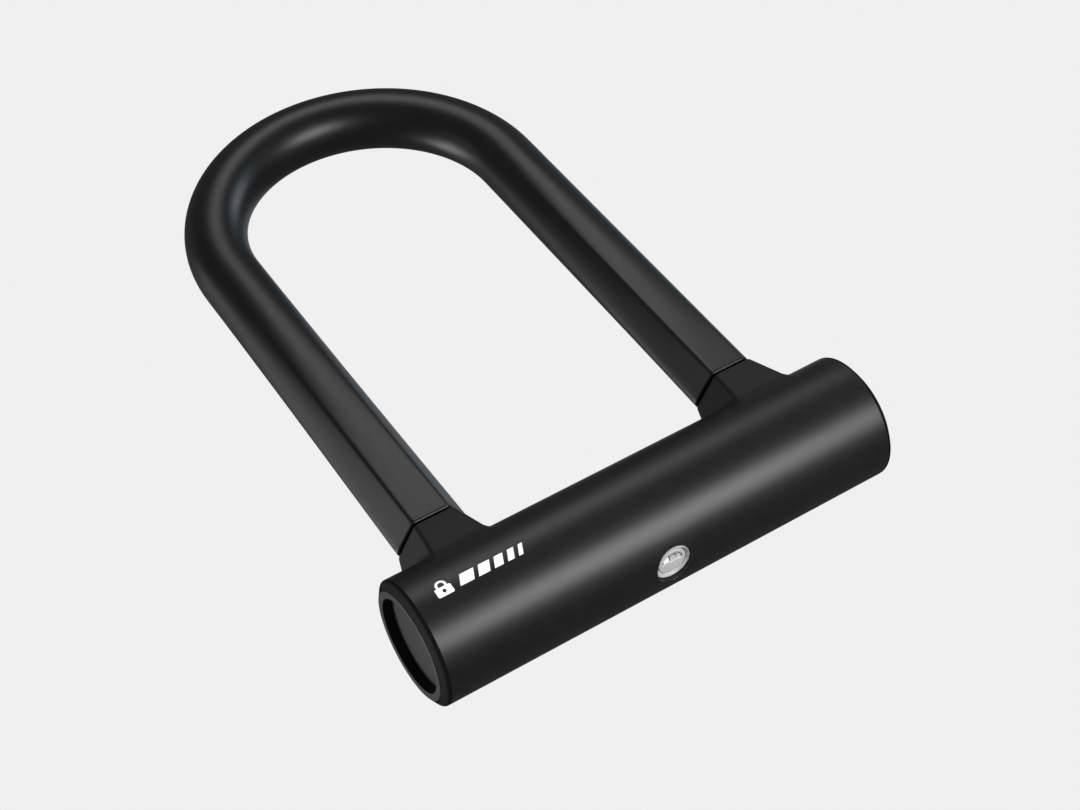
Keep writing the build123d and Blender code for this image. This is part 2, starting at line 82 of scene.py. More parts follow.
LEG_FLAT = 10.5 * MM
LEG_RIDGE_X = 12.8 * MM
LEG_RIDGE_TOP = 6.2 * MM
LEG_RIDGE_CUT = 0.45 * MM
LEG_SHARPNESS = 34
FLAT_END_Y = 33 * MM
ROUND_START_Y = 150 * MM
COLLAR_FLAT = 11.2 * MM
COLLAR_SLOPE = 0.29
COLLAR_BORE = 8.6 * MM
LEG_HOLE_RADIUS = 10 * MM
KEYHOLE_RADIUS = 6.3 * MM
CAP_SKIRT_RADIUS = 17.85 * MM
CAP_FACE_RADIUS = 17.2 * MM
CAP_RECESS_RADIUS = 14.9 * MM
BEZEL_RADIUS = 6.15 * MM
BEZEL_BORE = 4.75 * MM
NOSE_RADIUS = 4.6 * MM
WINDOW_RADIUS = 3.5 * MM
BLOCK_SPANS = ((-2.75, -0.8), (-0.5, 1.35), (1.7, 2.95))
BLOCK_LEANS = (0.5, 0.12, 0.04)

SHARP_EDGE_DEGREES = 35
SIDES = {"left": -1, "right": 1}
NAMES = {-1: "left", 1: "right"}

# ------------------------------------------------------------------ mesh helpers


def add_object(name, vertices, faces):
    mesh = bpy.data.meshes.new(name)
    mesh.from_pydata([tuple(v) for v in vertices], [], faces)
    mesh.validate()
    for polygon in mesh.polygons:
        polygon.use_smooth = True
    piece = bpy.data.objects.new(name, mesh)
    bpy.context.scene.collection.objects.link(piece)
    return piece


class Mesh:
    """Vertices and faces in the making. Points that coincide are welded."""

    def __init__(self):
        self.vertices = []
        self.faces = []
        self.index = {}

    def point(self, p):
        key = (round(p[0], 8), round(p[1], 8), round(p[2], 8))
        if key not in self.index:
            self.index[key] = len(self.vertices)
            self.vertices.append(Vector(p))
        return self.index[key]

    def face(self, *points):
        corners = [self.point(p) for p in points]
        corners = [c for i, c in enumerate(corners) if c != corners[i - 1]]
        if len(set(corners)) > 2:
            self.faces.append(corners)

    def skin(self, rings, flip=False):
        """Quads between rings of points, each ring with the same number of points."""
        for a, b in zip(rings, rings[1:]):
            count = len(a)
            for i in range(count):
                j = (i + 1) % count
                quad = (a[i], a[j], b[j], b[i])
                self.face(*(reversed(quad) if flip else quad))

    def loop_skin(self, rings, flip=False):
        """The same, with the last ring joined to the first."""
        self.skin(rings + rings[:1], flip=flip)

    def cap(self, ring, flip=False):
        self.face(*(reversed(ring) if flip else ring))

    def build(self, name):
        return add_object(name, self.vertices, self.faces)


def arc(centre, radius, start, end, steps):
    """Points of a plane arc, with its angles in degrees."""
    return [
        (
            centre[0] + radius * cos(radians(start + (end - start) * i / steps)),
            centre[1] + radius * sin(radians(start + (end - start) * i / steps)),
        )
        for i in range(steps + 1)
    ]


def degrees_of(u, w):
    """The angle of a direction in a plane."""
    return degrees(atan2(w, u))


def soften(piece, width=0.0, segments=3):
    """Bevels the sharp edges and evens out the shading of the flat faces."""
    if width:
        bevel = piece.modifiers.new("edges", "BEVEL")
        bevel.width = width
        bevel.segments = segments
        bevel.limit_method = "ANGLE"
        bevel.angle_limit = radians(SHARP_EDGE_DEGREES)
    piece.modifiers.new("shading", "WEIGHTED_NORMAL")
    return piece


def lathe(name, profile, place, steps=128):
    """A closed profile of (along, radius) turned about an axis. place maps (along, u, v) to a point."""
    mesh = Mesh()
    rings = []
    for along, radius in profile:
        turns = [2 * pi * i / steps for i in range(steps)]
        rings.append([place(along, radius * cos(t), radius * sin(t)) for t in turns])
    mesh.loop_skin(rings)
    return mesh.build(name)


def across_end(side):
    """Along +X or -X, for the ends of the crossbar."""
    return lambda along, u, v: (side * along, side * u, v)


def into_lock(along, u, v):
    """Along +Y on the lock cylinder's axis."""
    return (KEY_X + u, along, KEY_Z - v)


# ------------------------------------------------------------------ shackle cover and collars


def hexagon(flat, ridge, steps=14):
    """A hexagon with its ridges on +X and -X, as points around it. The ridges have a radius."""
    points = []
    for corner in range(6):
        middle = 60 * corner
        reach = (flat - ridge) / cos(radians(30))
        centre = (reach * cos(radians(middle)), reach * sin(radians(middle)))
        points += arc(centre, ridge, middle - 30, middle + 30, steps)
    return points


def leg_reach(angle):
    """Distance from a leg's axis to its hexagonal outline, whose outer ridges are rounder."""
    turn = abs((degrees(angle) + 180) % 360 - 180)
    turn = min(turn, 180 - turn)
    side = atan2(LEG_FLAT, LEG_RIDGE_X - LEG_RIDGE_TOP)
    normal = pi / 2 - side
    slant = LEG_RIDGE_X * cos(normal) / cos(radians(turn) - normal)
    top = LEG_FLAT / max(1e-6, sin(radians(turn)))
    tip = (LEG_RIDGE_X - LEG_RIDGE_CUT) / max(0.2, cos(radians(turn)))
    total = slant**-LEG_SHARPNESS + top**-LEG_SHARPNESS + tip**-LEG_SHARPNESS
    return total ** (-1 / LEG_SHARPNESS)


def section_angles():
    """Angles around a leg, close together at the ridges."""
    ridge = degrees(atan2(LEG_FLAT, LEG_RIDGE_TOP))
    corners = [0, ridge, 180 - ridge, 180, 180 + ridge, 360 - ridge]
    near = (0, 1, 2, 3, 4, 5.5, 7.5, 10, 14)
    angles = []
    for a, b in zip(corners, corners[1:] + [360]):
        angles += [a + n for n in near]
        gap = b - a - 2 * near[-1]
        angles += [a + near[-1] + gap * k / 6 for k in range(1, 6)]
        angles += [b - n for n in near[:0:-1]]
    return [radians(a) for a in angles]


SECTION_ANGLES = section_angles()


def u_path():
    """Stations along the U: a place on its centre line, the outward direction and the height up the leg."""
    stations = []
    straight = 56
    for i in range(straight + 1):
        y = COVER_END_Y + (BEND_Y - COVER_END_Y) * i / straight
        stations.append((Vector((-LEG_X, y, 0)), Vector((-1, 0, 0)), y))
    bend = 72
    for i in range(1, bend):
        t = pi - pi * i / bend
        outward = Vector((cos(t), sin(t), 0))
        stations.append((Vector((0, BEND_Y, 0)) + LEG_X * outward, outward, BEND_Y))
    for i in range(straight, -1, -1):
        y = COVER_END_Y + (BEND_Y - COVER_END_Y) * i / straight
        stations.append((Vector((LEG_X, y, 0)), Vector((1, 0, 0)), y))
    return stations


def cover_section(y, inset=0.0):
    """A hexagon near the feet, whose faces bow out until it is round."""
    share = min(1, max(0, (y - FLAT_END_Y) / (ROUND_START_Y - FLAT_END_Y)))
    points = []
    for angle in SECTION_ANGLES:
        reach = (1 - share) * leg_reach(angle) + share * COVER_RADIUS - inset
        points.append((reach * cos(angle), reach * sin(angle)))
    return points


def cover_ring(station, points, along=0.0):
    place, outward, _ = station
    return [place + outward * u + Vector((0, along, w)) for u, w in points]


def shackle_cover():
    stations = u_path()
    rounding = 0.9 * MM
    steps = 6

    def rounded_end(station):
        rings = []
        for i in range(steps):
            a = radians(90 * i / steps)
            section = cover_section(COVER_END_Y, rounding * (1 - sin(a)))
            rings.append(cover_ring(station, section, rounding * (1 - cos(a))))
        return rings

    outer = rounded_end(stations[0])
    outer.append(cover_ring(stations[0], cover_section(COVER_END_Y), rounding))
    outer += [cover_ring(s, cover_section(s[2])) for s in stations[1:-1]]
    outer.append(cover_ring(stations[-1], cover_section(COVER_END_Y), rounding))
    outer += rounded_end(stations[-1])[::-1]
    mesh = Mesh()
    mesh.skin(outer)
    bore = [(COVER_BORE * cos(a), COVER_BORE * sin(a)) for a in SECTION_ANGLES]
    inner = [cover_ring(s, bore) for s in stations]
    mesh.skin(inner, flip=True)
    mesh.skin([inner[0], outer[0]])
    mesh.skin([outer[-1], inner[-1]])
    return soften(mesh.build("shackle_cover_skin"))


def on_bar(x, y, z, radius=BAR_RADIUS):
    """The nearest point of the crossbar's surface."""
    reach = hypot(y, z)
    return Vector((x, y * radius / reach, z * radius / reach))


def collar(side):
    rim = 0.7 * MM
    ridge = 1.8 * MM
    blend = 3.2 * MM
    sink = 0.012 * MM
    tuck = 0.1 * MM
    bore_foot = 12 * MM
    lip = 0.25 * MM
    rim_steps = 6
    centre = Vector((side * LEG_X, 0, 0))

    def section(y, inset=0.0):
        flat = COLLAR_FLAT + COLLAR_SLOPE * (COLLAR_RIM_Y - y) - inset
        return hexagon(flat, max(0.3 * MM, ridge - inset))

    def ring(y, inset=0.0):
        return [centre + Vector((u, y, w)) for u, w in section(y, inset)]

    outer = []
    for i in range(rim_steps):
        a = radians(90 * i / rim_steps)
        outer.append(ring(COLLAR_RIM_Y - rim * (1 - cos(a)), rim * (1 - sin(a))))
    start_y = COLLAR_RIM_Y - rim
    outer.append(ring(start_y))

    count = len(outer[0])
    starts, joins, ends = [], [], []
    for k in range(count):
        low, high = 4 * MM, start_y
        for _ in range(40):
            middle = (low + high) / 2
            u, w = section(middle)[k]
            if hypot(middle, w) > BAR_RADIUS:
                high = middle
            else:
                low = middle
        join = ring(high)[k]
        above = ring(min(start_y, high + blend))[k]
        u, w = section(high)[k]
        corner = 60 * round(degrees_of(u, w) / 60 - 0.5) + 30
        share = abs(degrees_of(u, w) - corner) / 30
        outward = Vector((u, 0, w)).normalized()
        if share < 1:
            flat_out = Vector((cos(radians(corner)), 0, sin(radians(corner))))
            outward = flat_out.lerp(outward, share**6).normalized()
        normal = Vector((0, join.y, join.z)).normalized()
        along = (outward - normal * outward.dot(normal)).normalized()
        foot = join + along * blend
        starts.append(above)
        joins.append(join)
        ends.append(on_bar(foot.x, foot.y, foot.z))
    for i in range(1, 5):
        share = i / 5
        outer.append([Vector(outer[rim_steps][k]).lerp(starts[k], share) for k in range(count)])
    for i in range(13):
        t = i / 12
        bent = []
        for k in range(count):
            p = starts[k] * (1 - t) ** 2 + joins[k] * 2 * t * (1 - t) + ends[k] * t**2
            height = (hypot(starts[k].y, starts[k].z) - BAR_RADIUS) * (1 - t) ** 2
            bent.append(on_bar(p.x, p.y, p.z, BAR_RADIUS + height - sink * t**2))
        outer.append(bent)
    outer.append([on_bar(p.x, p.y, p.z, BAR_RADIUS - tuck) for p in outer[-1]])

    bore = hexagon(COLLAR_BORE, COLLAR_BORE)
    throat = hexagon(COLLAR_BORE + lip, COLLAR_BORE + lip)
    mesh = Mesh()
    rings = [
        [centre + Vector((u, bore_foot, w)) for u, w in bore],
        [centre + Vector((u, COLLAR_RIM_Y - lip, w)) for u, w in bore],
        [centre + Vector((u, COLLAR_RIM_Y, w)) for u, w in throat],
    ]
    mesh.loop_skin(rings + outer, flip=True)
    return soften(mesh.build(f"collar_{NAMES[side]}_skin"))


# ------------------------------------------------------------------ crossbar sleeve


def sleeve_point(x, angle, radius=BAR_RADIUS):
    """A point of the crossbar's surface. The angle runs from -Y towards +Z."""
    return Vector((x, -radius * cos(angle), radius * sin(angle)))


def crossbar_sleeve():
    turns = 96
    step = 2 * pi / turns
    key_row = asin(KEY_Z / BAR_RADIUS)
    patches = [
        (KEY_X, key_row, KEYHOLE_RADIUS, 8.4 * MM, (-6, 10), 1),
        (-LEG_X, pi, LEG_HOLE_RADIUS, 13 * MM, (37, 59), -1),
        (LEG_X, pi, LEG_HOLE_RADIUS, 13 * MM, (37, 59), -1),
    ]
    marks = [-BAR_HALF + 0.3 * MM, BAR_HALF - 0.3 * MM]
    for x, _, _, half, _, _ in patches:
        marks += [x - half, x + half]
    marks.sort()
    columns = []
    for a, b in zip(marks, marks[1:]):
        parts = max(4, round((b - a) / (2.6 * MM)))
        columns += [a + (b - a) * i / parts for i in range(parts)]
    columns.append(marks[-1])

    def nearest(x):
        return min(range(len(columns)), key=lambda i: abs(columns[i] - x))

    mesh = Mesh()
    blocked = set()
    for x, row, radius, half, (low, high), facing in patches:
        left, right = nearest(x - half), nearest(x + half)
        blocked |= {(i, j % turns) for i in range(left, right) for j in range(low, high)}
        border = [(i, low) for i in range(left, right)]
        border += [(right, j) for j in range(low, high)]
        border += [(i, high) for i in range(right, left, -1)]
        border += [(left, j) for j in range(high, low, -1)]
        centre_z = KEY_Z if facing > 0 else 0

        def rim_point(turn, reach, depth=0.0):
            z = centre_z + reach * sin(turn)
            y = -facing * sqrt(BAR_RADIUS**2 - z**2)
            return Vector((x + reach * cos(turn), y + facing * depth, z))

        angles = [
            atan2((j * step - row) * BAR_RADIUS * facing, columns[i] - x) for i, j in border
        ]
        rounding = 0.3 * MM
        outside = []
        for share in (0, 0.2, 0.4, 0.6, 0.8, 1):
            ring = []
            for (i, j), turn in zip(border, angles):
                edge = rim_point(turn, radius + rounding)
                edge_angle = asin(edge.z / BAR_RADIUS)
                if facing < 0:
                    edge_angle = pi - edge_angle
                flat_x = columns[i] + (edge.x - columns[i]) * share
                flat_angle = j * step + (edge_angle - j * step) * share
                ring.append(sleeve_point(flat_x, flat_angle))
            outside.append(ring)
        for i in range(1, 6):
            a = radians(90 * i / 5)
            outside.append(
                [rim_point(t, radius + rounding * (1 - sin(a)), rounding * (1 - cos(a))) for t in angles]
            )
        outside.append([rim_point(t, radius, 2 * MM) for t in angles])
        mesh.skin(outside)

    for i in range(len(columns) - 1):
        for j in range(turns):
            if (i, j) not in blocked:
                a, b = columns[i], columns[i + 1]
                mesh.face(
                    sleeve_point(a, j * step),
                    sleeve_point(b, j * step),
                    sleeve_point(b, (j + 1) * step),
                    sleeve_point(a, (j + 1) * step),
                )
    for side in (-1, 1):
        edge = [
            (BAR_HALF - 0.3 * MM, BAR_RADIUS),
            (BAR_HALF - 0.15 * MM, BAR_RADIUS - 0.04 * MM),
            (BAR_HALF - 0.04 * MM, BAR_RADIUS - 0.15 * MM),
            (BAR_HALF, BAR_RADIUS - 0.3 * MM),
            (BAR_HALF, SLEEVE_BORE),
        ]
        rings = [[sleeve_point(side * x, j * step, r) for j in range(turns)] for x, r in edge]
        mesh.skin(rings, flip=side > 0)
    return soften(mesh.build("crossbar_skin"))


# ------------------------------------------------------------------ ends of the crossbar


def end_cap(side):
    """The cap's sloping edge, darker as painted shade, and its brighter face."""
    seat = BAR_HALF - 4 * MM
    face = CAP_OUTER
    top, nose, lip = 0.7 * MM, 0.5 * MM, 0.25 * MM
    start = BAR_HALF + 0.05 * MM
    corner = start + 0.53 * top
    lean = degrees_of(BAR_RADIUS - CAP_FACE_RADIUS, CAP_OUTER - corner)
    nose_arc = arc((face - nose, CAP_FACE_RADIUS - nose * tan(radians(lean / 2))), nose, lean, 0, 6)
    edge = [(seat, CAP_SKIRT_RADIUS), (start, CAP_SKIRT_RADIUS)]
    edge += arc((start, BAR_RADIUS - 0.03 * MM - top), top, 90, lean, 6)
    edge.append(nose_arc[0])
    front = nose_arc + arc((face - lip, CAP_RECESS_RADIUS + lip), lip, 0, -90, 4)
    front += [(disc_high.x - 0.4 * MM, CAP_RECESS_RADIUS), (seat, CAP_RECESS_RADIUS)]
    return (
        soften(lathe(f"end_cap_{NAMES[side]}_edge", edge[::-1], across_end(side))),
        soften(lathe(f"end_cap_{NAMES[side]}_face", front[::-1], across_end(side))),
    )


def end_disc(side):
    radius = CAP_RECESS_RADIUS - 0.12 * MM
    face = disc_high.x
    profile = [(disc_low.x, 0), (disc_low.x, radius)]
    profile += arc((face - 0.3 * MM, radius - 0.3 * MM), 0.3 * MM, 90, 0, 5)
    profile += [(face, radius * 0.85), (face, radius * 0.5), (face, 0)]
    return soften(lathe(f"end_disc_{NAMES[side]}_skin", profile[::-1], across_end(side)))


# ------------------------------------------------------------------ lock face


def bezel():
    front, back = bezel_low.y, bezel_high.y
    profile = [(back, BEZEL_RADIUS)]
    profile += arc((front + 0.25 * MM, BEZEL_RADIUS - 0.25 * MM), 0.25 * MM, 90, 180, 5)
    profile += arc((front + 0.12 * MM, BEZEL_BORE + 0.85 * MM), 0.12 * MM, 180, 225, 3)
    profile += [(front + 0.70 * MM, BEZEL_BORE + 0.04 * MM), (back, BEZEL_BORE + 0.04 * MM)]
    return soften(lathe("bezel_ring_skin", profile, into_lock))


def painted_gap_shadow():
    """A black ring behind the gap between the bezel and the plug's nose: a painted shadow in the gap."""
    near, far = bezel_low.y + 0.85 * MM, bezel_low.y + 1.15 * MM
    inner, outer = NOSE_RADIUS + 0.01 * MM, BEZEL_BORE + 0.03 * MM
    profile = [(far, outer), (near, outer), (near, inner), (far, inner)]
    return soften(lathe("painted_gap_shadow", profile, into_lock))


def half_moon(radius, low, corner, steps=24):
    """The part of a disc above a level, with rounded corners, around it from its lower right."""
    reach = sqrt((radius - corner) ** 2 - (low + corner) ** 2)
    turn = degrees_of(reach, low + corner)
    points = arc((reach, low + corner), corner, -90, turn, 6)
    points += arc((0, 0), radius, turn, 180 - turn, steps)[1:-1]
    points += arc((-reach, low + corner), corner, 180 - turn, 270, 6)
    points += [(-reach + 2 * reach * i / 12, low) for i in range(1, 12)]
    return points


def plug_nose():
    front = plug_low.y
    back = shutter_high.y + 2.4 * MM
    lip = 0.9 * MM
    window = half_moon(WINDOW_RADIUS, 0, 0.3 * MM)
    middle = (0, 0.4 * WINDOW_RADIUS)

    def spread(points, radius):
        """Each point moved along its ray from the window's middle to a circle."""
        moved = []
        for u, v in points:
            du, dv = u - middle[0], v - middle[1]
            size = hypot(du, dv)
            du, dv = du / size, dv / size
            along = middle[0] * du + middle[1] * dv
            rest = middle[0] ** 2 + middle[1] ** 2 - radius**2
            reach = -along + sqrt(along**2 - rest)
            moved.append((middle[0] + du * reach, middle[1] + dv * reach))
        return moved

    def ring(points, y):
        return [into_lock(y, u, -v) for u, v in points]

    def grown(points, by):
        share = by / (WINDOW_RADIUS / 2)
        return [(u + share * (u - middle[0]), v + share * (v - middle[1])) for u, v in points]

    edge = 0.25 * MM
    rings = [ring(spread(window, NOSE_RADIUS), back)]
    rings.append(ring(spread(window, NOSE_RADIUS), front + edge))
    for i in range(1, 5):
        a = radians(90 * i / 4)
        rings.append(ring(spread(window, NOSE_RADIUS - edge * (1 - cos(a))), front + edge * (1 - sin(a))))
    inner = 0.12 * MM
    rings.append(ring(grown(window, inner), front))
    rings.append(ring(grown(window, 0.3 * inner), front + 0.3 * inner))
    rings.append(ring(window, front + inner))
    rings.append(ring(window, front + lip))
    rings.append(ring(spread(window, 4.0 * MM), front + lip))
    rings.append(ring(spread(window, 4.0 * MM), back))
    mesh = Mesh()
    mesh.loop_skin(rings)
    return soften(mesh.build("plug_nose_skin"))


def prism(mesh, points, front, back, lean=0.0):
    """An outline seen from the front, made solid. A lean sets the upper points back."""
    foot = min(v for _, v in points)
    near = [into_lock(front + lean * (v - foot), u, -v) for u, v in points]
    far = [into_lock(back, u, -v) for u, v in points]
    mesh.skin([near, far])
    mesh.cap(near)
    mesh.cap(far, flip=True)


def shutter_plate():
    mesh = Mesh()
    outline = half_moon(3.85 * MM, -0.35 * MM, 0.15 * MM)
    prism(mesh, outline, shutter_high.y - 1.0 * MM, shutter_high.y)
    return soften(mesh.build("shutter_plate"), 0.05 * MM, 2)


def shutter_block(span, lean):
    """One of the blocks that fill the keyway, each with its own lean."""
    mesh = Mesh()
    limit = WINDOW_RADIUS - 0.3 * MM
    low, high = span[0] * MM, span[1] * MM
    top = [
        (x, min(1.7 * MM, sqrt(limit**2 - x**2)))
        for x in [high + (low - high) * i / 8 for i in range(9)]
    ]
    outline = [(low, 0.12 * MM), (high, 0.12 * MM)] + top
    prism(mesh, outline, shutter_low.y, shutter_high.y - 0.9 * MM, lean)
    return soften(mesh.build("shutter_block"), 0.08 * MM, 3)


def shutter_coils():
    """The two coil springs behind the shutter, made at one length; the real ones shorten as it is pushed
    in.
    """
    wire, coil, pitch = 0.1 * MM, 0.4 * MM, 1.1 * MM
    front, back = spring_low.y + wire, spring_high.y - wire
    mesh = Mesh()
    count = round(24 * (back - front) / pitch)
    for side in (-1, 1):
        rings = []
        for i in range(count + 1):
            turn = 2 * pi * (back - front) / pitch * i / count
            out = Vector((cos(turn), 0, sin(turn)))
            tangent = Vector((-coil * sin(turn), pitch / (2 * pi), coil * cos(turn))).normalized()
            across = tangent.cross(out)
            y = front + (back - front) * i / count
            middle = Vector((KEY_X + side * 3.2 * MM, y, KEY_Z + 0.5 * MM)) + out * coil
            rings.append(
                [
                    middle + out * wire * cos(2 * pi * k / 10) + across * wire * sin(2 * pi * k / 10)
                    for k in range(10)
                ]
            )
        mesh.skin(rings)
        mesh.cap(rings[0], flip=True)
        mesh.cap(rings[-1])
    return mesh.build("shutter_coils")


# ------------------------------------------------------------------ printed mark


def printed_mark():
    """A padlock sign and a row of bars, printed on the crossbar."""
    lift = 0.03 * MM
    foot = radians(79)
    slice_width = 0.07 * MM
    mesh = Mesh()

    def column(x, low, high):
        rows = 8
        for r in range(rows):
            a = foot + (low + (high - low) * r / rows) / BAR_RADIUS
            b = foot + (low + (high - low) * (r + 1) / rows) / BAR_RADIUS
            quad = [(x, a), (x + slice_width, a), (x + slice_width, b), (x, b)]
            mesh.face(*[sleeve_point(px, angle, BAR_RADIUS + lift) for px, angle in quad])

    def shape(start_x, width, spans):
        for i in range(int(width / slice_width)):
            u = (i + 0.5) * slice_width
            for low, high in spans(u):
                if high - low > 0.02 * MM:
                    column(start_x + i * slice_width, low, high)

    def padlock(u):
        width, body = 5.2 * MM, 3.1 * MM
        off = abs(u - width / 2)
        corner = 0.55 * MM
        edge = max(0, off - (width / 2 - corner))
        cut = corner - sqrt(max(0, corner**2 - edge**2))
        spans = []
        hole = 0.55 * MM
        if off < hole:
            half = sqrt(hole**2 - off**2)
            slot = 0.75 * MM if off < 0.22 * MM else half
            spans += [(cut, 1.6 * MM - slot), (1.6 * MM + half, body - cut)]
        else:
            spans.append((cut, body - cut))
        outer, inner = 1.75 * MM, 1.0 * MM
        rise = 0.5 * MM
        if off < outer:
            high = body + rise + sqrt(outer**2 - off**2)
            low = body if off > inner else body + rise + sqrt(inner**2 - off**2)
            spans.append((low, high))
        return spans

    shape(-70.6 * MM, 5.2 * MM, padlock)
    lean = 0.45
    bar_foot, bar_top = 0.5 * MM, 4.1 * MM
    for start, width in ((-63.4, 4.6), (-57.3, 3.7), (-52.1, 2.9), (-47.7, 2.1), (-44.1, 1.4)):
        reach = width * MM + lean * (bar_top - bar_foot)

        def bar(u, width=width * MM):
            low = bar_foot + max(0, (u - width) / lean)
            high = bar_foot + min(bar_top - bar_foot, u / lean)
            return [(low, high)]

        shape(start * MM, reach, bar)
    return mesh.build("printed_mark")


# ------------------------------------------------------------------ materials


def surface(name, colour, roughness, metallic=0.0, grain=900, bump=0.05, tint=0.15, spread=0.05,
            specular=0.5, stretch=(1, 1, 1), painted_glow=0.0):
    """A procedural material: mottled colour, uneven roughness and a fine grain."""
    material = bpy.data.materials.new(name)
    material.use_nodes = True
    tree = material.node_tree
    nodes, links = tree.nodes, tree.links
    shader = nodes["Principled BSDF"]
    shader.inputs["Metallic"].default_value = metallic
    shader.inputs["Specular IOR Level"].default_value = specular
    # An emission strength: a painted glow, light that comes from no lamp.
    if painted_glow:
        shader.inputs["Emission Color"].default_value = (1, 1, 1, 1)
        shader.inputs["Emission Strength"].default_value = painted_glow
    place = nodes.new("ShaderNodeTexCoord")
    stretched = nodes.new("ShaderNodeMapping")
    stretched.inputs["Scale"].default_value = stretch
    links.new(place.outputs["Object"], stretched.inputs["Vector"])

    def noise(scale, detail):
        node = nodes.new("ShaderNodeTexNoise")
        node.inputs["Scale"].default_value = scale
        node.inputs["Detail"].default_value = detail
        links.new(stretched.outputs["Vector"], node.inputs["Vector"])
        return node.outputs["Fac"]

    def ranged(value, low, high):
        node = nodes.new("ShaderNodeMapRange")
        node.inputs["From Min"].default_value = 0.3
        node.inputs["From Max"].default_value = 0.7
        node.inputs["To Min"].default_value = low
        node.inputs["To Max"].default_value = high
        links.new(value, node.inputs["Value"])
        return node.outputs["Result"]

    clouds = noise(grain / 18, 3)
    mottle = nodes.new("ShaderNodeMix")
    mottle.data_type = "RGBA"
    mottle.inputs["A"].default_value = (*[c * (1 - tint) for c in colour], 1)
    mottle.inputs["B"].default_value = (*[c * (1 + tint) for c in colour], 1)
    links.new(ranged(clouds, 0, 1), mottle.inputs["Factor"])
    links.new(mottle.outputs["Result"], shader.inputs["Base Color"])
    patches = ranged(noise(grain / 3, 4), roughness - spread, roughness + spread)
    links.new(patches, shader.inputs["Roughness"])
    relief = nodes.new("ShaderNodeBump")
    relief.inputs["Strength"].default_value = bump
    relief.inputs["Distance"].default_value = 0.02 * MM
    links.new(noise(grain, 2), relief.inputs["Height"])
    links.new(relief.outputs["Normal"], shader.inputs["Normal"])
    return material


finishes = {
    "satin_black_coat": surface(
        "satin_black_coat", (0.010, 0.010, 0.0105), 0.40, grain=2600, bump=0.10, spread=0.02
    ),
    "collar_plastic": surface(
        "collar_plastic", (0.010, 0.010, 0.0105), 0.42, grain=2200, bump=0.12, spread=0.03
    ),
    "shackle_coat": surface(
        "shackle_coat", (0.008, 0.008, 0.0085), 0.38, grain=2000, bump=0.10, spread=0.02
    ),
    "cap_plastic": surface(
        "cap_plastic", (0.011, 0.011, 0.0115), 0.42, grain=2400, bump=0.15, spread=0.03
    ),
    "seal_rubber": surface("seal_rubber", (0.008, 0.008, 0.008), 0.7, grain=1500, bump=0.2),
    "hardened_steel": surface(
        "hardened_steel", (0.20, 0.20, 0.21), 0.42, 1.0, grain=900, bump=0.2, stretch=(6, 1, 6)
    ),
    "plated_steel": surface("plated_steel", (0.55, 0.55, 0.56), 0.3, 1.0, grain=1200, bump=0.1),
    "die_cast_alloy": surface("die_cast_alloy", (0.45, 0.45, 0.46), 0.5, 1.0, grain=1400, bump=0.3),
    "cylinder_brass": surface(
        "cylinder_brass", (0.72, 0.53, 0.25), 0.32, 1.0, grain=1100, bump=0.1, stretch=(1, 8, 1)
    ),
    "bright_chrome": surface(
        "bright_chrome", (0.80, 0.80, 0.81), 0.48, 0.12, grain=1500, bump=0.05, tint=0.05, spread=0.04
    ),
}
# A shaded copy of the cap plastic that reflects less: painted shade on the cap's sloping edge.
shaded_edge_plastic = surface(
    "shaded_edge_plastic", (0.010, 0.010, 0.0105), 0.6, grain=2400, bump=0.15, specular=0.06
)
bezel_chrome = surface(
    "bezel_chrome", (0.66, 0.66, 0.67), 0.55, 0.1, grain=1500, bump=0.05, tint=0.04, specular=0.3
)
# A painted highlight: the left keyway block, near white and glowing.
highlight_glow_block = surface(
    "highlight_glow_block", (0.97, 0.97, 0.97), 0.35, 0.1, grain=1500, bump=0.04, tint=0.02, painted_glow=0.2
)
bright_blocks = surface(
    "bright_blocks", (0.95, 0.95, 0.95), 0.30, 0.25, grain=1500, bump=0.04, tint=0.03
)
# Black that paints shade: the gap behind the plug's nose and the shutter plate deep in the keyway.
painted_shade_black = surface("painted_shade_black", (0.008, 0.008, 0.008), 0.6, 0.1, grain=1500, bump=0.05)
# White print, with a glow that paints extra light on it.
glowing_print_white = surface(
    "glowing_print_white", (0.88, 0.88, 0.88), 0.5, grain=2600, bump=0.08, tint=0.03, painted_glow=0.45
)

for entry in frame["record"]["subparts"]:
    node = frame["nodes"][entry["node"]]
    for place in node.material_slots:
        place.material = finishes[entry["material_slot"]]


def finish_piece(piece, body, slot, *nodes, material=None):
    """Gives a piece its material, its body and the nodes it stands for."""
    piece.data.materials.append(material or finishes[slot])
    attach(piece, body)
    if nodes:
        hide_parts(*nodes)


finish_piece(shackle_cover(), "shackle", "shackle_coat", "shackle_cover")
finish_piece(crossbar_sleeve(), "crossbar", "satin_black_coat", "crossbar_sleeve")
for name, side in SIDES.items():
    finish_piece(collar(side), "crossbar", "collar_plastic", f"collar_{name}")
    edge, front = end_cap(side)
    # The sloping edge gets the shaded copy of the cap plastic: painted shade.
    finish_piece(edge, "crossbar", "cap_plastic", f"end_cap_{name}", material=shaded_edge_plastic)
    finish_piece(front, "crossbar", "cap_plastic")
    finish_piece(end_disc(side), "crossbar", "cap_plastic", f"end_disc_{name}")
finish_piece(bezel(), "crossbar", "bright_chrome", "bezel_ring", material=bezel_chrome)
# A black ring that paints the shadow in the gap around the plug's nose.
finish_piece(painted_gap_shadow(), "crossbar", "bright_chrome", material=painted_shade_black)
finish_piece(plug_nose(), "plug", "bright_chrome", "cylinder_plug")
# The shutter plate is painted black for the shade inside the keyway.
finish_piece(shutter_plate(), "shutter", "bright_chrome", "keyway_shutter", material=painted_shade_black)
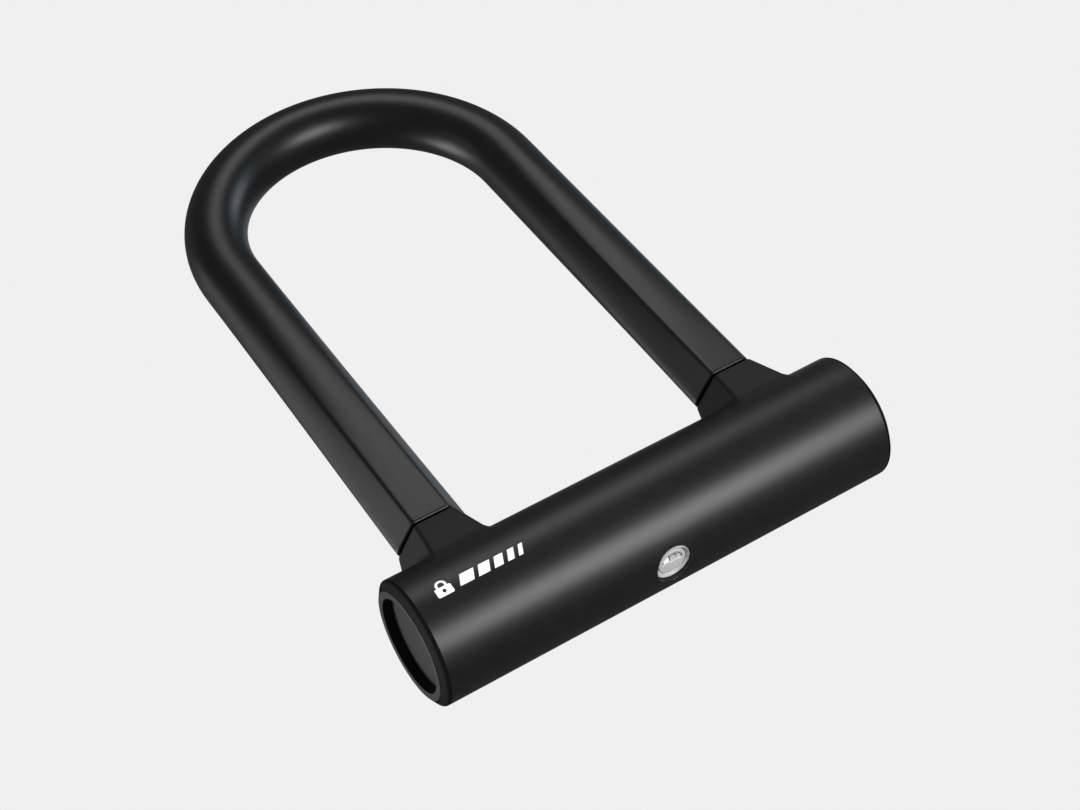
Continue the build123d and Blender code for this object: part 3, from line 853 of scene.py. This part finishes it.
# The first block gets a painted highlight: near white and glowing.
for span, lean, look in zip(BLOCK_SPANS, BLOCK_LEANS, (highlight_glow_block, bright_blocks, bright_blocks)):
    finish_piece(shutter_block(span, lean), "shutter", "bright_chrome", material=look)
coils = shutter_coils()
finish_piece(coils, "plug", "plated_steel", "shutter_springs")
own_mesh(coils)
# The printed mark glows a little: painted light on the print.
finish_piece(printed_mark(), "crossbar", "satin_black_coat", material=glowing_print_white)

# ------------------------------------------------------------------ stage, light and camera

scene = bpy.context.scene
scene.view_settings.view_transform = "Standard"

TILT = asin((BAR_RADIUS - COVER_RADIUS) / (BEND_Y + LEG_X))
UP = Vector((0, -sin(TILT), cos(TILT)))
GROUND = -BAR_RADIUS * UP


def glow(name, level):
    material = bpy.data.materials.new(name)
    material.use_nodes = True
    tree = material.node_tree
    tree.nodes.clear()
    emission = tree.nodes.new("ShaderNodeEmission")
    emission.inputs["Color"].default_value = (level, level, level, 1)
    output = tree.nodes.new("ShaderNodeOutputMaterial")
    tree.links.new(emission.outputs["Emission"], output.inputs["Surface"])
    return material


def camera_only(obj):
    obj.visible_diffuse = False
    obj.visible_glossy = False
    obj.visible_transmission = False
    obj.visible_shadow = False


FLOOR_RADIUS = 0.42
DOME_RADIUS = 4
pale = glow("pale_paper", 0.871)

floor_mesh = Mesh()
across = UP.orthogonal().normalized()
ahead = UP.cross(across)
turns = [2 * pi * i / 64 for i in range(64)]
floor_mesh.cap([GROUND + FLOOR_RADIUS * (across * cos(t) + ahead * sin(t)) for t in turns])
floor = floor_mesh.build("floor")
floor.data.materials.append(pale)
camera_only(floor)

dome_mesh = Mesh()
dome_rings = []
for i in range(1, 24):
    level = pi * i / 24
    reach, height = DOME_RADIUS * sin(level), DOME_RADIUS * cos(level)
    turns = [2 * pi * j / 48 for j in range(48)]
    dome_rings.append([(reach * cos(t), reach * sin(t), height) for t in turns])
dome_mesh.skin(dome_rings)
dome_mesh.cap(dome_rings[0])
dome_mesh.cap(dome_rings[-1])
dome = dome_mesh.build("backdrop")
dome.data.materials.append(pale)
camera_only(dome)

world = bpy.data.worlds.new("studio")
world.use_nodes = True
world.node_tree.nodes["Background"].inputs["Color"].default_value = (0.97, 0.98, 1.0, 1)
world.node_tree.nodes["Background"].inputs["Strength"].default_value = 0.105
scene.world = world


def area_light(name, place, target, width, height, radiance, colour=(1, 1, 1)):
    """A rectangular lamp whose face has a given brightness."""
    light = bpy.data.lights.new(name, "AREA")
    light.shape = "RECTANGLE"
    light.size, light.size_y = width, height
    light.energy = radiance * pi * width * height
    light.color = colour
    lamp = bpy.data.objects.new(name, light)
    lamp.location = place
    lamp.rotation_euler = (Vector(target) - Vector(place)).to_track_quat("-Z", "Z").to_euler()
    lamp.visible_camera = False
    scene.collection.objects.link(lamp)


area_light("key", (0.20, -0.46, 0.385), (0, 0.02, 0), 0.40, 0.30, 9.0)
area_light("back", (0.31, 0.80, 0.92), (0, 0.05, 0), 0.60, 0.50, 2.5)
area_light("rim", (0.95, 0.35, 0.27), (0, 0.08, 0), 0.40, 0.40, 3.6, (0.80, 0.90, 1.0))
area_light("low", (-0.85, 0.32, -0.50), (0, 0.08, 0), 0.45, 0.45, 5.2)
area_light("fill", (-1.0, 0.60, -0.14), (0, 0.08, 0), 0.66, 0.92, 1.0)
area_light("side", (0.57, 0.66, -0.60), (0, 0.08, 0), 0.50, 0.50, 0.40, (0.85, 0.92, 1.0))

camera_data = bpy.data.cameras.new("camera")
camera_data.lens = 69.88
camera_data.sensor_width = 36
camera = bpy.data.objects.new("camera", camera_data)
camera.location = (-0.22658, -0.32224, 0.48351)
looked_at = Vector((0.0008, 0.0571, 0.0004))
camera_tilt = TILT + 0.0048
forward = (looked_at - camera.location).normalized()
right = forward.cross(Vector((0, -sin(camera_tilt), cos(camera_tilt)))).normalized()
camera.rotation_euler = Matrix((right, right.cross(forward), -forward)).transposed().to_euler()
scene.collection.objects.link(camera)
scene.camera = camera

bpy.context.view_layer.update()
